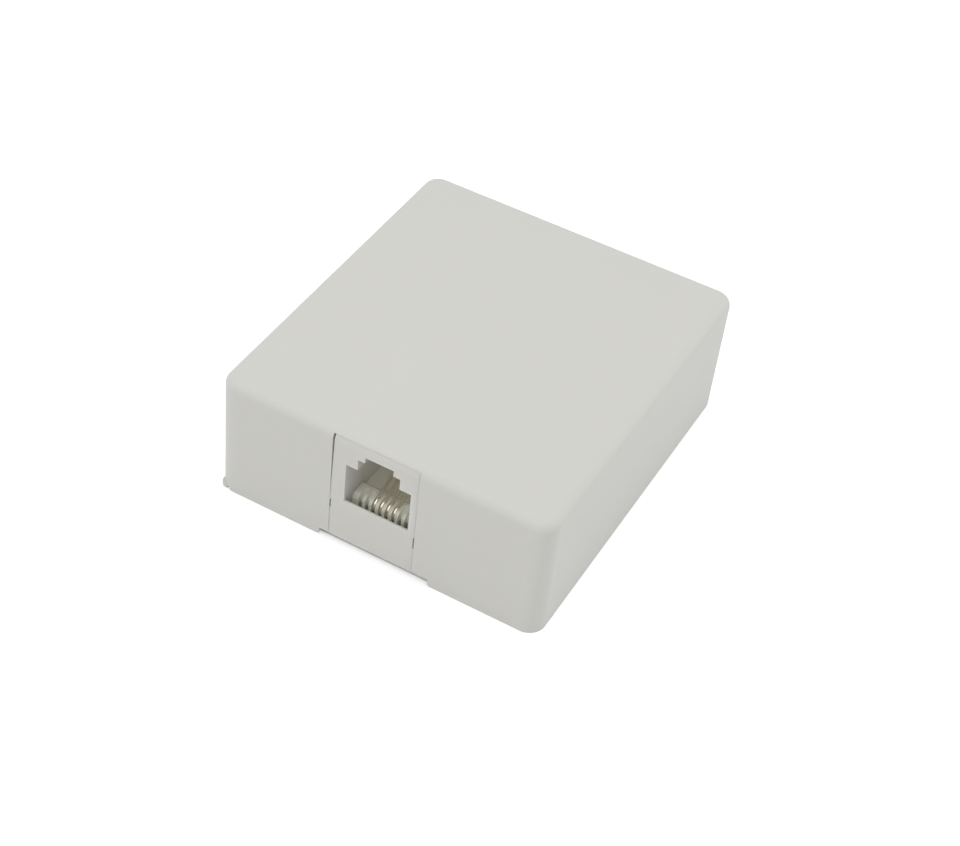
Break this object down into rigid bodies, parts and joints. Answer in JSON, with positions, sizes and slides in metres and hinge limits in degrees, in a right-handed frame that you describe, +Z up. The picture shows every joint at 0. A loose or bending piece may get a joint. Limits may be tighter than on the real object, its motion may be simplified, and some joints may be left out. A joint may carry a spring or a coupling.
{
  "type": "surface mount jack box",
  "caption": "Small flat surface mount jack box: lift-off rounded cover over a base with a flush stepped modular jack, sprung wires and screw terminals.",
  "frame": {"origin": "centre of the footprint, on the mounting surface", "axes": "+Z up, away from the mounting surface; the jack opens towards -Y; +X to the right seen from the jack side"},
  "size_m": [0.05, 0.0564, 0.02],
  "materials": {
    "cover_plastic": "satin moulded, pale warm grey",
    "base_plastic": "satin moulded, pale warm grey",
    "jack_plastic": "satin moulded, pale warm grey",
    "carrier_plastic": "satin moulded, pale grey",
    "contact_gold": "gold plated",
    "black_insulation": "smooth",
    "red_insulation": "smooth",
    "green_insulation": "smooth",
    "yellow_insulation": "smooth",
    "tinned_brass": "tin plated",
    "terminal_brass": "stamped",
    "washer_steel": "nickel plated",
    "screw_steel": "nickel plated"
  },
  "bodies": {
    "base": {"base_plate": "base_plastic", "jack_housing": "jack_plastic", "contact_carrier": "carrier_plastic", "contact_wire_1": "contact_gold", "contact_wire_2": "contact_gold", "contact_wire_3": "contact_gold", "contact_wire_4": "contact_gold", "lead_black": "black_insulation", "lead_red": "red_insulation", "lead_green": "green_insulation", "lead_yellow": "yellow_insulation", "spade_lug_front_left": "tinned_brass", "spade_lug_rear_left": "tinned_brass", "spade_lug_rear_right": "tinned_brass", "spade_lug_front_right": "tinned_brass", "terminal_plate_front_left": "terminal_brass", "terminal_plate_rear_left": "terminal_brass", "terminal_plate_rear_right": "terminal_brass", "terminal_plate_front_right": "terminal_brass"},
    "cover": {"cover": "cover_plastic"},
    "washer_front_left": {"terminal_washer_front_left": "washer_steel"},
    "screw_front_left": {"terminal_screw_front_left": "screw_steel"},
    "washer_rear_left": {"terminal_washer_rear_left": "washer_steel"},
    "screw_rear_left": {"terminal_screw_rear_left": "screw_steel"},
    "washer_rear_right": {"terminal_washer_rear_right": "washer_steel"},
    "screw_rear_right": {"terminal_screw_rear_right": "screw_steel"},
    "washer_front_right": {"terminal_washer_front_right": "washer_steel"},
    "screw_front_right": {"terminal_screw_front_right": "screw_steel"}
  },
  "joints": [
    {"name": "cover_lift", "type": "slide", "parent": "base", "child": "cover", "axis": [0, 0, 1], "range_m": [0, 0.03]},
    {"name": "screw_rise_front_left", "type": "slide", "parent": "base", "child": "washer_front_left", "axis": [0, 0, 1], "range_m": [0, 0.00317]},
    {"name": "screw_turn_front_left", "type": "hinge", "parent": "washer_front_left", "child": "screw_front_left", "pos_m": [-0.0155, -0.014, 0.009], "axis": [0, 0, 1], "range_deg": [0, 1440]},
    {"name": "screw_rise_rear_left", "type": "slide", "parent": "base", "child": "washer_rear_left", "axis": [0, 0, 1], "range_m": [0, 0.00317]},
    {"name": "screw_turn_rear_left", "type": "hinge", "parent": "washer_rear_left", "child": "screw_rear_left", "pos_m": [-0.0155, 0.012, 0.009], "axis": [0, 0, 1], "range_deg": [0, 1440]},
    {"name": "screw_rise_rear_right", "type": "slide", "parent": "base", "child": "washer_rear_right", "axis": [0, 0, 1], "range_m": [0, 0.00317]},
    {"name": "screw_turn_rear_right", "type": "hinge", "parent": "washer_rear_right", "child": "screw_rear_right", "pos_m": [0.0155, 0.012, 0.009], "axis": [0, 0, 1], "range_deg": [0, 1440]},
    {"name": "screw_rise_front_right", "type": "slide", "parent": "base", "child": "washer_front_right", "axis": [0, 0, 1], "range_m": [0, 0.00317]},
    {"name": "screw_turn_front_right", "type": "hinge", "parent": "washer_front_right", "child": "screw_front_right", "pos_m": [0.0155, -0.014, 0.009], "axis": [0, 0, 1], "range_deg": [0, 1440]}
  ],
  "couplings": [
    {"joint": "screw_turn_front_left", "follows": "screw_rise_front_left", "rad_per_m": 7913.3},
    {"joint": "screw_turn_rear_left", "follows": "screw_rise_rear_left", "rad_per_m": 7913.3},
    {"joint": "screw_turn_rear_right", "follows": "screw_rise_rear_right", "rad_per_m": 7913.3},
    {"joint": "screw_turn_front_right", "follows": "screw_rise_front_right", "rad_per_m": 7913.3}
  ]
}
